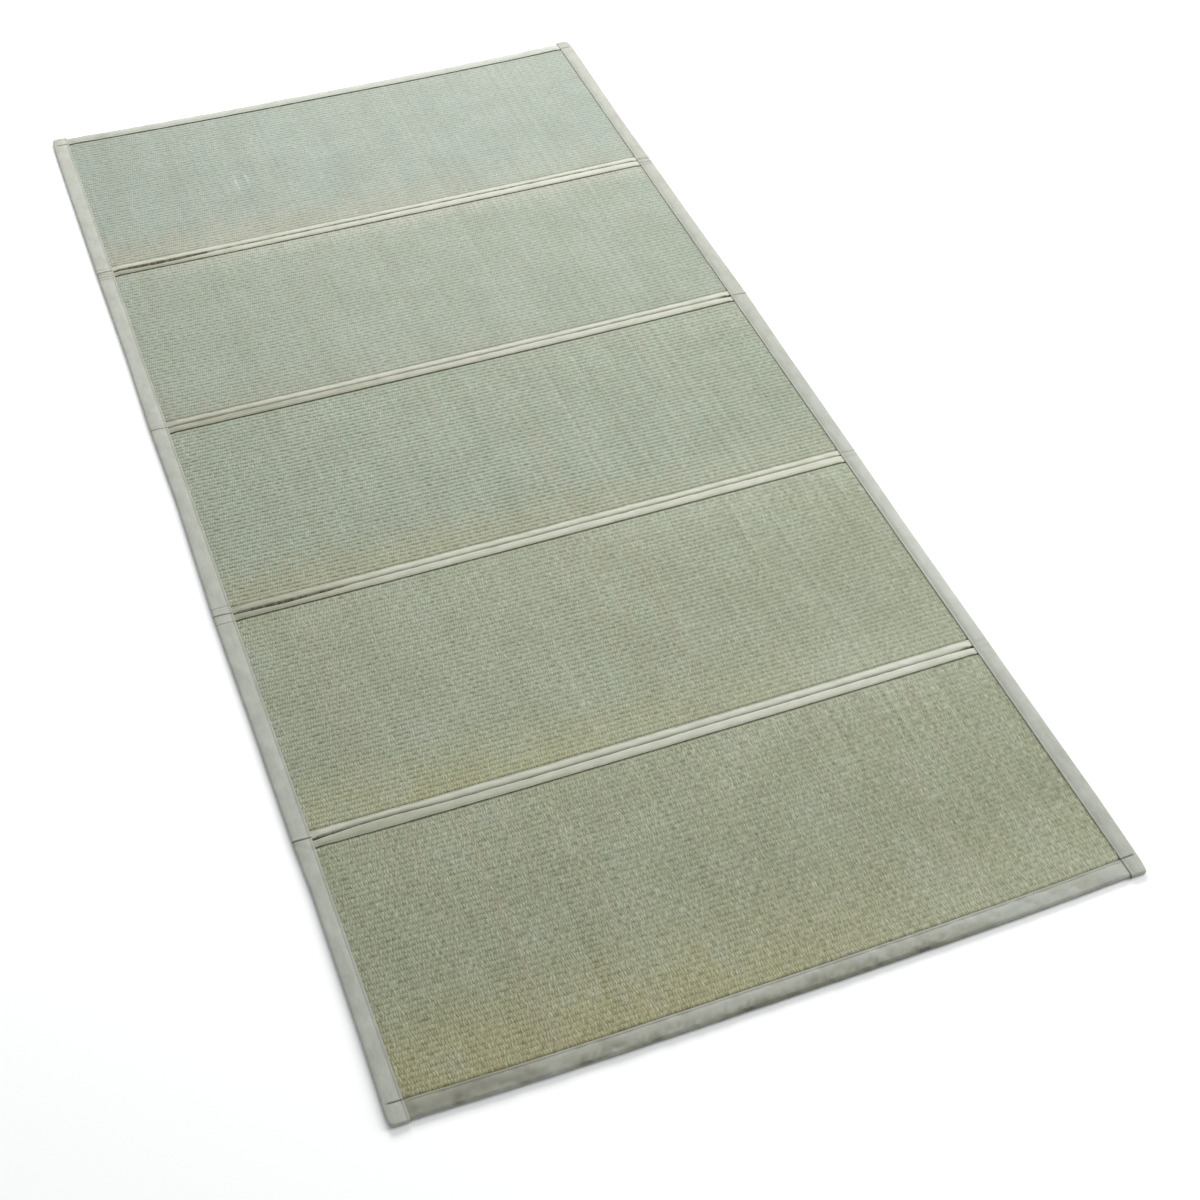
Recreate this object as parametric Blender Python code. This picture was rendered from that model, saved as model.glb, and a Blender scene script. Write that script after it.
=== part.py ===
"""Folding rush mat: five woven rush panels in a row, every edge bound with folded cloth tape.

Metres, +Z up. X runs across the mat and +Y towards its rear end. The origin is on the surface that
the mat lies on, under the middle of its outline.
"""

import math
from collections import namedtuple

import bmesh
import bpy

MM = 0.001

# Driving sizes, across the mat
HALF_WIDTH = 500 * MM  # middle line to the outer edge of a side binding
HALF_FIELD = 474.5 * MM  # middle line to the inner edge of a side binding
HALF_TUCK = 492 * MM  # how far panels and cross tapes reach inside the side bindings
PRESS_START = 464 * MM  # cross tapes start to be pressed flat here
PRESS_END = 472 * MM  # and are flat from here on, under the side binding

# Driving sizes, in height
TAPE_THICKNESS = 7.6 * MM  # a tape folded over a panel's edge, underside to top
TAPE_CROWN = 0.3 * MM  # rise of the tape's top between its rolled edge and its stitches
TAPE_EDGE_DROP = 0.5 * MM  # the stitched edge lies this much below the tape's top
TAPE_WALL = 1.0 * MM
PRESSED_WALL = 0.8 * MM
CLEAR = 0.3 * MM  # between pieces that touch
PANEL_THICKNESS = 6.6 * MM

# Driving sizes, along the mat
REAR_TAPE = 12.0 * MM  # fold line to the stitched edge of the tape behind it
FRONT_TAPE = 14.8 * MM  # fold line to the stitched edge of the tape before it
CLOSED_GAP = 0.6 * MM  # between the two tapes of a closed fold
ROLL_END = 1.3 * MM  # rolled edge to the bottom of the tape's slot
END_WALL = 1.2 * MM  # closes a side binding's ends
CORNER_CUT = 3.5 * MM  # how much a side binding's corners are rounded off
LEDGE = 1.0 * MM  # a panel stays thin this far beyond a tape
SLOPE = 4.0 * MM  # and then swells to its full thickness over this distance

PRESSED_BOTTOM = TAPE_WALL + CLEAR
PRESSED_TOP = TAPE_THICKNESS - TAPE_WALL - CLEAR

# The two ends: their bindings' outer and inner edges on the middle line, and how far those edges
# have moved towards the rear by the time they reach the left and the right side.
End = namedtuple("End", "outer inner rise_left rise_right")
REAR_END = End(1036.0 * MM, 1015.5 * MM, 7.0 * MM, 9.0 * MM)
FRONT_END = End(-1047.5 * MM, -1021.7 * MM, 6.5 * MM, 7.0 * MM)

# The four folds, rear to front: place on the middle line, rise at each side, then how far the
# groove wanders at the left end, in the left bay, at the left quarter and at the right end, and how
# wide the gap between its tapes stands at the left end, in the left bay and at the right end.
Fold = namedtuple(
    "Fold",
    "y rise_left rise_right groove_end groove_bay groove_quarter groove_right "
    "gap_end gap_bay gap_right",
)
FOLDS = [
    Fold(*(value * MM for value in row))
    for row in (
        (623.5, 2.2, 2.4, 0.0, -1.8, -0.5, 2.2, 2.6, 5.6, 1.0),
        (206.5, 2.0, 4.0, 0.2, 0.8, 0.2, 2.6, 1.4, 1.0, 3.0),
        (-210.5, 1.8, 1.4, 0.4, -2.0, -0.2, 1.8, 2.0, 3.6, 1.0),
        (-628.5, 4.4, 2.2, 2.6, 5.2, 0.0, 0.4, 2.4, 1.0, 2.4),
    )
]

# How far each long edge stands out beyond HALF_WIDTH, from the front end to the rear end
Bulge = namedtuple("Bulge", "y left right")
BULGES = [
    Bulge(*(value * MM for value in row))
    for row in (
        (-1047, 0.9, -0.6),
        (-915, -1.2, 1.0),
        (-700, -2.2, -0.2),
        (-618, 0.3, 0.0),
        (-400, 0.8, -1.0),
        (-196, 2.8, 0.3),
        (45, -0.5, 1.0),
        (225, 2.0, 2.8),
        (400, 0.2, 0.4),
        (640, 2.0, -0.9),
        (765, 1.9, -2.2),
        (945, 1.8, -0.2),
        (1047, 1.4, 0.0),
    )
]

# Places across the mat where every panel and cross tape has a section
LEFT_STATIONS = [-HALF_TUCK, -PRESS_END, -PRESS_START] + [x * MM for x in (-435, -400, -350, -300)]
STATIONS = LEFT_STATIONS + [x * MM for x in (-200, -100, 0, 100, 200, 300, 400, 445)]
STATIONS += [PRESS_START, PRESS_END, HALF_TUCK]


def eased(position, places):
    """The value at a position, easing from each (place, value) to the next with a half cosine."""
    if position <= places[0][0]:
        return places[0][1]
    for (start, low), (end, high) in zip(places, places[1:]):
        if position <= end:
            share = 0.5 - 0.5 * math.cos(math.pi * (position - start) / (end - start))
            return low + (high - low) * share
    return places[-1][1]


def risen(y, line, x):
    """A cross line's place at x: it bows towards the rear with the cube of the distance out."""
    rise = line.rise_left if x < 0 else line.rise_right
    return y + rise * abs(x / HALF_FIELD) ** 3


def pressed(x):
    """0 where a cross tape has its full height, 1 where a side binding presses it flat."""
    return min(max((abs(x) - PRESS_START) / (PRESS_END - PRESS_START), 0.0), 1.0)


def mixed(share, start, end):
    return start + share * (end - start)


def slot_heights(share):
    """The lowest and highest level of what lies inside a tape, pressed by this share."""
    wall = mixed(share, TAPE_WALL, PRESSED_WALL) + CLEAR
    bottom = mixed(share, 0.0, PRESSED_BOTTOM)
    top = mixed(share, TAPE_THICKNESS, PRESSED_TOP)
    return bottom + wall, top - wall


def groove(fold, x):
    wander = (
        (-HALF_FIELD, fold.groove_end),
        (-400 * MM, fold.groove_bay),
        (-250 * MM, fold.groove_quarter),
        (0.0, 0.0),
        (HALF_FIELD, fold.groove_right),
    )
    return fold.y + eased(x, wander)


def half_gap(fold, x):
    gaps = (
        (-HALF_FIELD, fold.gap_end),
        (-400 * MM, fold.gap_bay),
        (-270 * MM, CLOSED_GAP),
        (445 * MM, CLOSED_GAP),
        (HALF_FIELD, fold.gap_right),
    )
    return eased(x, gaps) / 2


# Each cross tape is a pair of lines: where its rolled edge and its stitched edge run at x.


def rear_tape_lines(fold):
    def rolled(x):
        return groove(fold, x) + half_gap(fold, x)

    def stitched(x):
        return risen(fold.y, fold, x) + REAR_TAPE

    return rolled, stitched


def front_tape_lines(fold):
    def rolled(x):
        return groove(fold, x) - half_gap(fold, x)

    def stitched(x):
        return risen(fold.y, fold, x) - FRONT_TAPE

    return rolled, stitched


def end_lines(end):
    def rolled(x):
        return risen(end.outer, end, x)

    def stitched(x):
        return risen(end.inner, end, x)

    return rolled, stitched


def tape_section(width, share, slot_floor):
    """(distance from the rolled edge, height) round a tape folded over an edge, as a U lying down.

    The outside is flat below, half round at the rolled edge and crowned on top. The slot between
    the two walls opens at the stitched edge, where distance equals width.
    """
    bottom = mixed(share, 0.0, PRESSED_BOTTOM)
    top = mixed(share, TAPE_THICKNESS, PRESSED_TOP)
    wall = mixed(share, TAPE_WALL, PRESSED_WALL)
    crown = mixed(share, TAPE_CROWN, 0.0)
    drop = mixed(share, TAPE_EDGE_DROP, 0.2 * MM)
    radius = (top - bottom) / 2
    round_edge = [
        (radius - radius * math.cos(angle), bottom + radius + radius * math.sin(angle))
        for angle in (math.radians(degrees) for degrees in (-90, -50, 0, 50, 90))
    ]
    top_face = [(0.6 * width, top + crown), (width, top - drop)]
    slot = [
        (width, top - wall),
        (slot_floor, top - wall),
        (slot_floor, bottom + wall),
        (width, bottom + wall),
    ]
    return [(width, bottom)] + round_edge + top_face + slot


def lofted(sections):
    """One closed mesh through sections of equally many points, with its two ends filled."""
    mesh = bmesh.new()
    rings = [[mesh.verts.new(point) for point in section] for section in sections]
    for ring, following in zip(rings, rings[1:]):
        for index, vert in enumerate(ring):
            last = index - 1
            mesh.faces.new((ring[last], vert, following[index], following[last]))
    mesh.faces.new(rings[0])
    mesh.faces.new(rings[-1])
    bmesh.ops.recalc_face_normals(mesh, faces=mesh.faces)
    return mesh


def cross_tape(rolled, stitched):
    """A tape across the mat, folded over a panel's edge and pressed flat at both ends."""
    sections = []
    for x in STATIONS:
        start = rolled(x)
        width = abs(stitched(x) - start)
        side = math.copysign(1.0, stitched(x) - start)
        section = tape_section(width, pressed(x), ROLL_END)
        sections.append([(x, start + side * along, height) for along, height in section])
    return lofted(sections)


def side_binding(side):
    """A tape along one long edge, folded over everything there, with closed ends."""
    front = risen(FRONT_END.outer, FRONT_END, side * HALF_FIELD) - CLEAR - END_WALL
    rear = risen(REAR_END.outer, REAR_END, side * HALF_TUCK) + CLEAR + END_WALL
    bulges = [(row.y, row.left if side < 0 else row.right) for row in BULGES]
    ends = [
        (front, CORNER_CUT, True),
        (front + END_WALL - 0.1 * MM, 0.7 * CORNER_CUT, True),
        (front + END_WALL, 0.7 * CORNER_CUT, False),
        (front + 8 * MM, 0.0, False),
    ]
    rear_ends = [(rear - (y - front), cut, closed) for y, cut, closed in reversed(ends)]
    between = [(row.y, 0.0, False) for row in BULGES if front + 12 * MM < row.y < rear - 12 * MM]
    sections = []
    for y, cut, closed in ends + between + rear_ends:
        outer = HALF_WIDTH + eased(y, bulges) - cut
        width = outer - HALF_FIELD
        slot_floor = width - 0.2 * MM if closed else ROLL_END
        section = tape_section(width, 0.0, slot_floor)
        sections.append([(side * (outer - along), y, height) for along, height in section])
    return lofted(sections)


def panel(rear_lines, front_lines):
    """A woven rush panel: thin inside the tapes, and swelling to full thickness between them."""
    tuck = ROLL_END + 0.5 * MM
    rear_rolled, rear_stitched = rear_lines
    front_rolled, front_stitched = front_lines
    tops = []
    bottoms = []
    for x in STATIONS:
        share = pressed(x)
        low, high = slot_heights(share)
        edge_low, edge_high = slot_heights(0.0)
        field_low = mixed(share, 0.0, edge_low)
        field_high = mixed(share, PANEL_THICKNESS, edge_high)
        rear, front = rear_stitched(x), front_stitched(x)
        rows = [
            (rear_rolled(x) - tuck, low, high),
            (rear - LEDGE, low, high),
            (rear - LEDGE - SLOPE, field_low, field_high),
            (mixed(1 / 3, rear, front), field_low, field_high),
            (mixed(2 / 3, rear, front), field_low, field_high),
            (front + LEDGE + SLOPE, field_low, field_high),
            (front + LEDGE, low, high),
            (front_rolled(x) + tuck, low, high),
        ]
        tops.append([(x, y, top) for y, _, top in rows])
        bottoms.append([(x, y, bottom) for y, bottom, _ in reversed(rows)])
    return lofted([top + bottom for top, bottom in zip(tops, bottoms)])


def material(name, colour, roughness):
    made = bpy.data.materials.new(name)
    made.use_nodes = True
    shader = made.node_tree.nodes["Principled BSDF"]
    shader.inputs["Base Color"].default_value = (*colour, 1.0)
    shader.inputs["Roughness"].default_value = roughness
    shader.inputs["Metallic"].default_value = 0.0
    return made


def add_object(name, shape, finish):
    mesh = bpy.data.meshes.new(name)
    shape.to_mesh(mesh)
    shape.free()
    mesh.materials.append(finish)
    bpy.context.scene.collection.objects.link(bpy.data.objects.new(name, mesh))


def main():
    for startup_object in list(bpy.data.objects):
        bpy.data.objects.remove(startup_object)

    rush = material("woven_rush", (0.36, 0.39, 0.27), 0.62)
    edge_cloth = material("edge_binding_cloth", (0.46, 0.47, 0.41), 0.85)
    fold_cloth = material("fold_tape_cloth", (0.55, 0.55, 0.45), 0.85)

    rear_of = [rear_tape_lines(fold) for fold in FOLDS]
    front_of = [front_tape_lines(fold) for fold in FOLDS]
    panel_rears = [end_lines(REAR_END)] + front_of
    panel_fronts = rear_of + [end_lines(FRONT_END)]
    for number, (rear_lines, front_lines) in enumerate(zip(panel_rears, panel_fronts), start=1):
        add_object(f"rush_panel_{number}", panel(rear_lines, front_lines), rush)

    for number, (rear_lines, front_lines) in enumerate(zip(rear_of, front_of), start=1):
        add_object(f"fold_{number}_tape_rear", cross_tape(*rear_lines), fold_cloth)
        add_object(f"fold_{number}_tape_front", cross_tape(*front_lines), fold_cloth)

    add_object("end_binding_rear", cross_tape(*end_lines(REAR_END)), edge_cloth)
    add_object("end_binding_front", cross_tape(*end_lines(FRONT_END)), edge_cloth)
    add_object("side_binding_left", side_binding(-1), edge_cloth)
    add_object("side_binding_right", side_binding(1), edge_cloth)


main()
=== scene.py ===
"""Looks of the folding rush mat: woven rush panels, folded cloth tapes, creases and stitches.

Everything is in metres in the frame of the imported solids: X across the mat, +Y to its rear end,
+Z up from the surface that it lies on. Every piece is a surface worked out as whole arrays.
"""

import math
from collections import namedtuple

import bpy
import numpy as np
from mathutils import Matrix, Vector


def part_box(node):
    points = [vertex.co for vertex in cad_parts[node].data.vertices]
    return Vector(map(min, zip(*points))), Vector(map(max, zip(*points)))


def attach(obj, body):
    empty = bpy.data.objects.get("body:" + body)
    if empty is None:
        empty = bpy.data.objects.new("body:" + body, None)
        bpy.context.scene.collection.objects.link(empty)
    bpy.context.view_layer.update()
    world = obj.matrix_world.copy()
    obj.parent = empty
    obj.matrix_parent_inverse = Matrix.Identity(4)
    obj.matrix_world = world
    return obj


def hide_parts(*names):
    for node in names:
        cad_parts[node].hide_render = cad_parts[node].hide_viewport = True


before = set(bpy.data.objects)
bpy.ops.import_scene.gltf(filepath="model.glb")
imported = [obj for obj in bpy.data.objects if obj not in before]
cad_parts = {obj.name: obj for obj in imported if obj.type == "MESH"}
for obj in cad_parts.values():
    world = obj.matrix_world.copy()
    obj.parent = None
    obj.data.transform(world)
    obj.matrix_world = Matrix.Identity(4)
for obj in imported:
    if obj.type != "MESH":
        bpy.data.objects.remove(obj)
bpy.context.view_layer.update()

MM = 0.001

# Heights inside and outside a folded tape, as the solids have them
TAPE_TOP = 7.6 * MM
TAPE_WALL = 1.0 * MM
TOP_WALL = 1.25 * MM  # a little more over the slot, so that deep wrinkles don't reach it
DEEPEST = 1.15 * MM  # no wrinkle is deeper
PRESSED_WALL = 0.8 * MM
PRESSED_BOTTOM = 1.3 * MM
PRESSED_TOP = 6.3 * MM
SLOT_FLOOR = 1.5 * MM

# A panel's top and underside: in the open, tucked under one tape, and where two tapes cross
PANEL_HEIGHTS = (6.6 * MM, 6.2 * MM, 5.1 * MM)
PANEL_DEPTHS = (0.0, 1.4 * MM, 2.5 * MM)

HALF_FIELD = 474.5 * MM  # middle line to the inner edge of a side binding
HALF_TUCK = 492 * MM  # panels and cross tapes reach this far inside the side bindings
PRESS_START = 464 * MM  # from here to the next place the side bindings press the cross tapes flat
PRESS_END = 472 * MM
SIDE_WIDTH = 26 * MM

# The weave
RIB_PITCH = 7.45 * MM
STEM_PITCH = 1.7 * MM
BEAD_LENGTH = 15 * MM  # a rib is a row of beads this long, set off by half from the next rib's
BEAD_TILT = 1.7 * MM  # how far a bead drops towards the front from its left end to its right
ROWS_PER_RIB = 4
RIB_SHAPE = np.array([0.0, 0.8, 1.0, 0.8])  # height at the four rows of a rib, from valley to valley
COLUMNS = 264  # across a panel's top
UNDER_STEP = 6  # the underside keeps every sixth column
PANEL_TUCK = 6.5 * MM  # how far a panel reaches under a tape's stitched edge

# Tapes
TAPE_STEP = 3.2 * MM  # between sections of a cross tape
FOLD_STITCH = 1.6 * MM  # stitched edge to the stitch line of a fold tape
EDGE_STITCH = 3.4 * MM  # and of a binding
STITCH_STEP = 3.6 * MM
STITCH_LENGTH = 2.7 * MM
STITCH_RADIUS = 0.28 * MM
STITCH_ENDS = 22 * MM  # no stitches this close to either end
STITCH_HEIGHTS = (TAPE_TOP - 0.42 * MM, 0.3 * MM)
THREAD_PITCH = 0.6 * MM  # from thread to thread of the cotton
CORNER_ROUND = 9 * MM
CORNER_CUT = 3.5 * MM
END_CLOSE = 1.2 * MM  # a side binding is solid this close to its ends

# How each kind of tape is made up: hem to stitch line, how dark the painted shade in its ditch is, how
# round the rolled edge, how dark the painted shade at its foot, how strong the twists, and how much
# painted shade darkens it near its rolled edge.
TapeMake = namedtuple("TapeMake", "inset ditch plump shade twist grime")
FOLD_REAR = TapeMake(FOLD_STITCH, ditch=0.45, plump=0.6, shade=1.0, twist=1.3, grime=0.0)
FOLD_FRONT = TapeMake(FOLD_STITCH, ditch=0.65, plump=0.6, shade=1.0, twist=1.3, grime=0.0)
END_REAR = TapeMake(EDGE_STITCH, ditch=0.1, plump=1.2, shade=0.1, twist=2.2, grime=0.0)
END_FRONT = TapeMake(EDGE_STITCH, ditch=0.2, plump=1.2, shade=0.9, twist=2.8, grime=0.24)
LONG_EDGE = TapeMake(EDGE_STITCH, ditch=0.15, plump=0.8, shade=0.25, twist=0.0, grime=0.0)

# How much duller each cross tape is all over, how much painted shade darkens it towards its left end,
# where that starts, and how dark the painted shade in the groove beside it is where the fold is closed.
ShadeAndTone = namedtuple("ShadeAndTone", "dull left start groove")
TAPE_SHADE_AND_TONE = {
    "fold_1_tape_rear": ShadeAndTone(0.04, 0.08, -0.25, 0.45),
    "fold_1_tape_front": ShadeAndTone(0.05, 0.42, -0.22, 0.40),
    "fold_2_tape_rear": ShadeAndTone(0.00, 0.20, -0.20, 0.15),
    "fold_2_tape_front": ShadeAndTone(0.07, 0.27, 0.15, 0.10),
    "fold_3_tape_rear": ShadeAndTone(0.00, 0.38, -0.20, 0.12),
    "fold_3_tape_front": ShadeAndTone(0.06, 0.40, -0.18, 0.10),
    "fold_4_tape_rear": ShadeAndTone(0.05, 0.08, 0.10, 0.10),
    "fold_4_tape_front": ShadeAndTone(0.09, 0.24, 0.00, 0.10),
    "end_binding_rear": ShadeAndTone(0.00, 0.12, -0.20, 0.0),
    "end_binding_front": ShadeAndTone(0.00, 0.34, -0.16, 0.0),
}

FOLD_PLACES = (623.5 * MM, 206.5 * MM, -210.5 * MM, -628.5 * MM)

# Creases across the side bindings: which side and fold, how far behind the fold line, how deep, how
# wide, how far they lean towards the rear at the outer edge, and how dark their painted shade is.
Crease = namedtuple("Crease", "side fold offset depth width lean dark")
CREASES = [
    Crease(side, fold, *(value * MM for value in sizes), dark)
    for side, fold, sizes, dark in (
        (-1, 1, (9.0, 0.35, 1.6, 1.0), 0.2),
        (-1, 1, (1.5, 0.9, 1.3, -1.5), 0.9),
        (-1, 1, (-5.0, 0.45, 1.6, 2.0), 0.3),
        (-1, 1, (-12.0, 0.5, 1.8, 1.0), 0.35),
        (-1, 1, (-19.0, 0.35, 2.0, -1.0), 0.25),
        (1, 1, (7.0, 0.35, 2.0, 2.0), 0.2),
        (1, 1, (3.0, 0.75, 1.6, -2.0), 0.6),
        (1, 1, (-8.0, 0.55, 1.7, -1.5), 0.4),
        (1, 1, (-16.0, 0.3, 2.2, 1.0), 0.2),
        (-1, 2, (0.8, 0.95, 1.1, 0.5), 0.8),
        (-1, 2, (5.0, 0.3, 2.4, 0.5), 0.1),
        (1, 2, (0.0, 0.9, 1.2, -3.0), 0.6),
        (-1, 3, (17.0, 0.4, 1.3, -2.0), 0.3),
        (-1, 3, (2.6, 0.8, 1.1, 0.5), 0.8),
        (-1, 3, (-14.5, 0.45, 1.2, 0.0), 0.4),
        (1, 3, (3.5, 0.4, 2.0, -2.0), 0.25),
        (1, 3, (-7.0, 0.25, 2.4, 1.0), 0.15),
        (-1, 4, (6.0, 1.1, 1.2, 0.0), 0.9),
        (-1, 4, (-6.0, 0.4, 4.0, 16.0), 0.15),
        (1, 4, (5.0, 0.3, 3.5, 3.0), 0.15),
        (1, 4, (-5.0, 0.3, 4.0, -2.0), 0.1),
    )
]

# Long wrinkles in the fold tapes: which tape, from where to where across the mat, how far from its
# rolled edge, how deep, and how dark its painted shade is.
Wrinkle = namedtuple("Wrinkle", "node start end distance depth dark")
WRINKLES = [
    Wrinkle(node, *(value * MM for value in sizes), dark)
    for node, sizes, dark in (
        ("fold_2_tape_front", (-462.0, -275.0, 5.2, 0.9), 0.6),
        ("fold_2_tape_front", (-225.0, -112.0, 4.6, 0.8), 0.5),
        ("fold_4_tape_front", (-300.0, -120.0, 6.5, 0.4), 0.15),
        ("fold_1_tape_rear", (60.0, 300.0, 6.0, 0.4), 0.15),
    )
]

# Camera
CAMERA_TARGET = Vector((18.5, -364.3, 6.6)) * MM
CAMERA_DISTANCE = 2752 * MM
CAMERA_AZIMUTH = -22.139
CAMERA_ELEVATION = 46.849
CAMERA_ROLL = 1.301
CAMERA_LENS = 58.13
CAMERA_SENSOR = 36.0

FLOOR_HALF = 12.0
FLOOR_DROP = -0.05 * MM


# ---------------------------------------------------------------- numbers


def mixed(share, start, end):
    return start + share * (end - start)


def ramp(value, start, end):
    """0 at start, 1 at end and beyond, with a smooth step between."""
    share = np.clip((value - start) / (end - start), 0.0, 1.0)
    return share * share * (3.0 - 2.0 * share)


def bell(value, width):
    return np.exp(-((value / width) ** 2))


def noise(across, along, seed):
    """Smooth noise from -1 to 1: random heights at whole numbers, eased between them both ways."""
    size = 256
    heights = np.random.default_rng(seed).uniform(-1.0, 1.0, (size, size))
    across, along = np.broadcast_arrays(across, along)
    column = np.floor(across).astype(int)
    row = np.floor(along).astype(int)
    shift_x = ramp(across - column, 0.0, 1.0)
    near, far = (
        mixed(shift_x, heights[column % size, line % size], heights[(column + 1) % size, line % size])
        for line in (row, row + 1)
    )
    return mixed(ramp(along - row, 0.0, 1.0), near, far)


# ---------------------------------------------------------------- lines read from the frame


def edge_lines(node, along_axis):
    """The two long edges of a CAD tape, as functions of the place along it.

    At each place where the solid has a whole section, the lowest and the highest point across the
    tape are taken, and the runs between them are rounded off with a bell-shaped running mean.
    """
    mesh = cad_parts[node].data
    points = np.empty(len(mesh.vertices) * 3, np.float32)
    mesh.vertices.foreach_get("co", points)
    points = points.reshape(-1, 3).astype(float)
    along = np.round(points[:, along_axis], 4)
    across = points[:, 1 - along_axis]
    places, counts = np.unique(along, return_counts=True)
    places = places[counts > 0.6 * np.median(counts)]
    low = np.array([across[along == place].min() for place in places])
    high = np.array([across[along == place].max() for place in places])
    fine = np.linspace(places[0], places[-1], 1001)
    half = 9  # steps on either side that the mean runs over
    weights = np.hanning(2 * half + 1)
    weights /= weights.sum()

    def rounded(values):
        line = np.interp(fine, places, values)
        before = 2 * line[0] - line[half:0:-1]
        after = 2 * line[-1] - line[-2 : -half - 2 : -1]
        padded = np.concatenate([before, line, after])
        smooth = np.convolve(padded, weights, "valid")
        return lambda place: np.interp(place, fine, smooth)

    return rounded(low), rounded(high)


def pressed(x):
    """0 where a cross tape has its full height, 1 where a side binding presses it flat."""
    return np.clip((np.abs(x) - PRESS_START) / (PRESS_END - PRESS_START), 0.0, 1.0)


# ---------------------------------------------------------------- meshes


def grid_faces(rows, columns, start=0, flip=False, closed=False):
    """Quads over a grid of rows by columns of points; closed joins the last column to the first."""
    index = start + np.arange(rows * columns).reshape(rows, columns)
    if closed:
        index = np.concatenate([index, index[:, :1]], axis=1)
    quads = np.stack([index[:-1, :-1], index[:-1, 1:], index[1:, 1:], index[1:, :-1]], axis=-1)
    quads = quads.reshape(-1, 4)
    return quads[:, ::-1] if flip else quads


def build_piece(name, points, face_groups, attributes, finish):
    """A mesh from an array of points, arrays of faces and named values on the points."""
    mesh = bpy.data.meshes.new(name)
    mesh.vertices.add(len(points))
    mesh.vertices.foreach_set("co", points.astype(np.float32).ravel())
    corners = np.concatenate([group.ravel() for group in face_groups]).astype(np.int32)
    sizes = np.concatenate([np.full(len(group), group.shape[1]) for group in face_groups])
    starts = np.concatenate([[0], np.cumsum(sizes)[:-1]]).astype(np.int32)
    mesh.loops.add(len(corners))
    mesh.loops.foreach_set("vertex_index", corners)
    mesh.polygons.add(len(starts))
    mesh.polygons.foreach_set("loop_start", starts)
    mesh.update(calc_edges=True)
    mesh.validate()
    for label, values in attributes.items():
        layer = mesh.attributes.new(label, "FLOAT_VECTOR", "POINT")
        layer.data.foreach_set("vector", values.astype(np.float32).ravel())
    mesh.materials.append(finish)
    mesh.shade_smooth()
    piece = bpy.data.objects.new(name, mesh)
    bpy.context.scene.collection.objects.link(piece)
    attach(piece, "root")
    return piece


# ---------------------------------------------------------------- woven rush panels


def bead_count(x, line, seed):
    """Beads counted along a rib from the middle of the mat; each rib starts half a bead on."""
    slip = 0.6 * noise(x / (70 * MM), line * 0.61, seed)
    return x / BEAD_LENGTH + 0.5 * line + slip


def from_bead_middle(beads):
    return beads - np.floor(beads) - 0.5


def rib_wander(x, line, seed):
    """How far a valley between two ribs strays along the mat: a drop along each bead, and noise."""
    place = from_bead_middle(bead_count(x, line, seed))
    drop = -BEAD_TILT * place * (1.0 - ramp(np.abs(place), 0.3, 0.5))
    slow = 0.5 * noise(x / (31 * MM), line * 0.23, seed + 4) * MM
    return drop + slow + 0.3 * noise(x / (9 * MM), line * 3.7, seed + 5) * MM


def rib_relief(x, ribs, seed, brick):
    """Height of the woven ribs, from about 0 in the valleys to 1 on the crests.

    Each rib is an arch from valley to valley. Its height wanders with the bundles of stems, and the
    valleys are deep along the middle of each bead and fade out between beads, as far as brick says.
    """
    rib = np.floor(ribs)
    line = np.round(ribs)
    arch = RIB_SHAPE[np.round((ribs - rib) * ROWS_PER_RIB).astype(int) % ROWS_PER_RIB]
    bundles = noise(x / (4.3 * MM), rib * 7.31, seed)
    runs = noise(x / (17 * MM), rib * 3.17, seed + 1)
    swell = 1.0 + 0.2 * bundles + 0.14 * runs
    place = np.abs(from_bead_middle(bead_count(x, line, seed)))
    valley = 0.5 * brick * ramp(place, 0.2, 0.5) + 0.16 * noise(x / (9 * MM), line * 5.7, seed + 3)
    return arch * swell + (1.0 - arch) * valley


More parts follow.
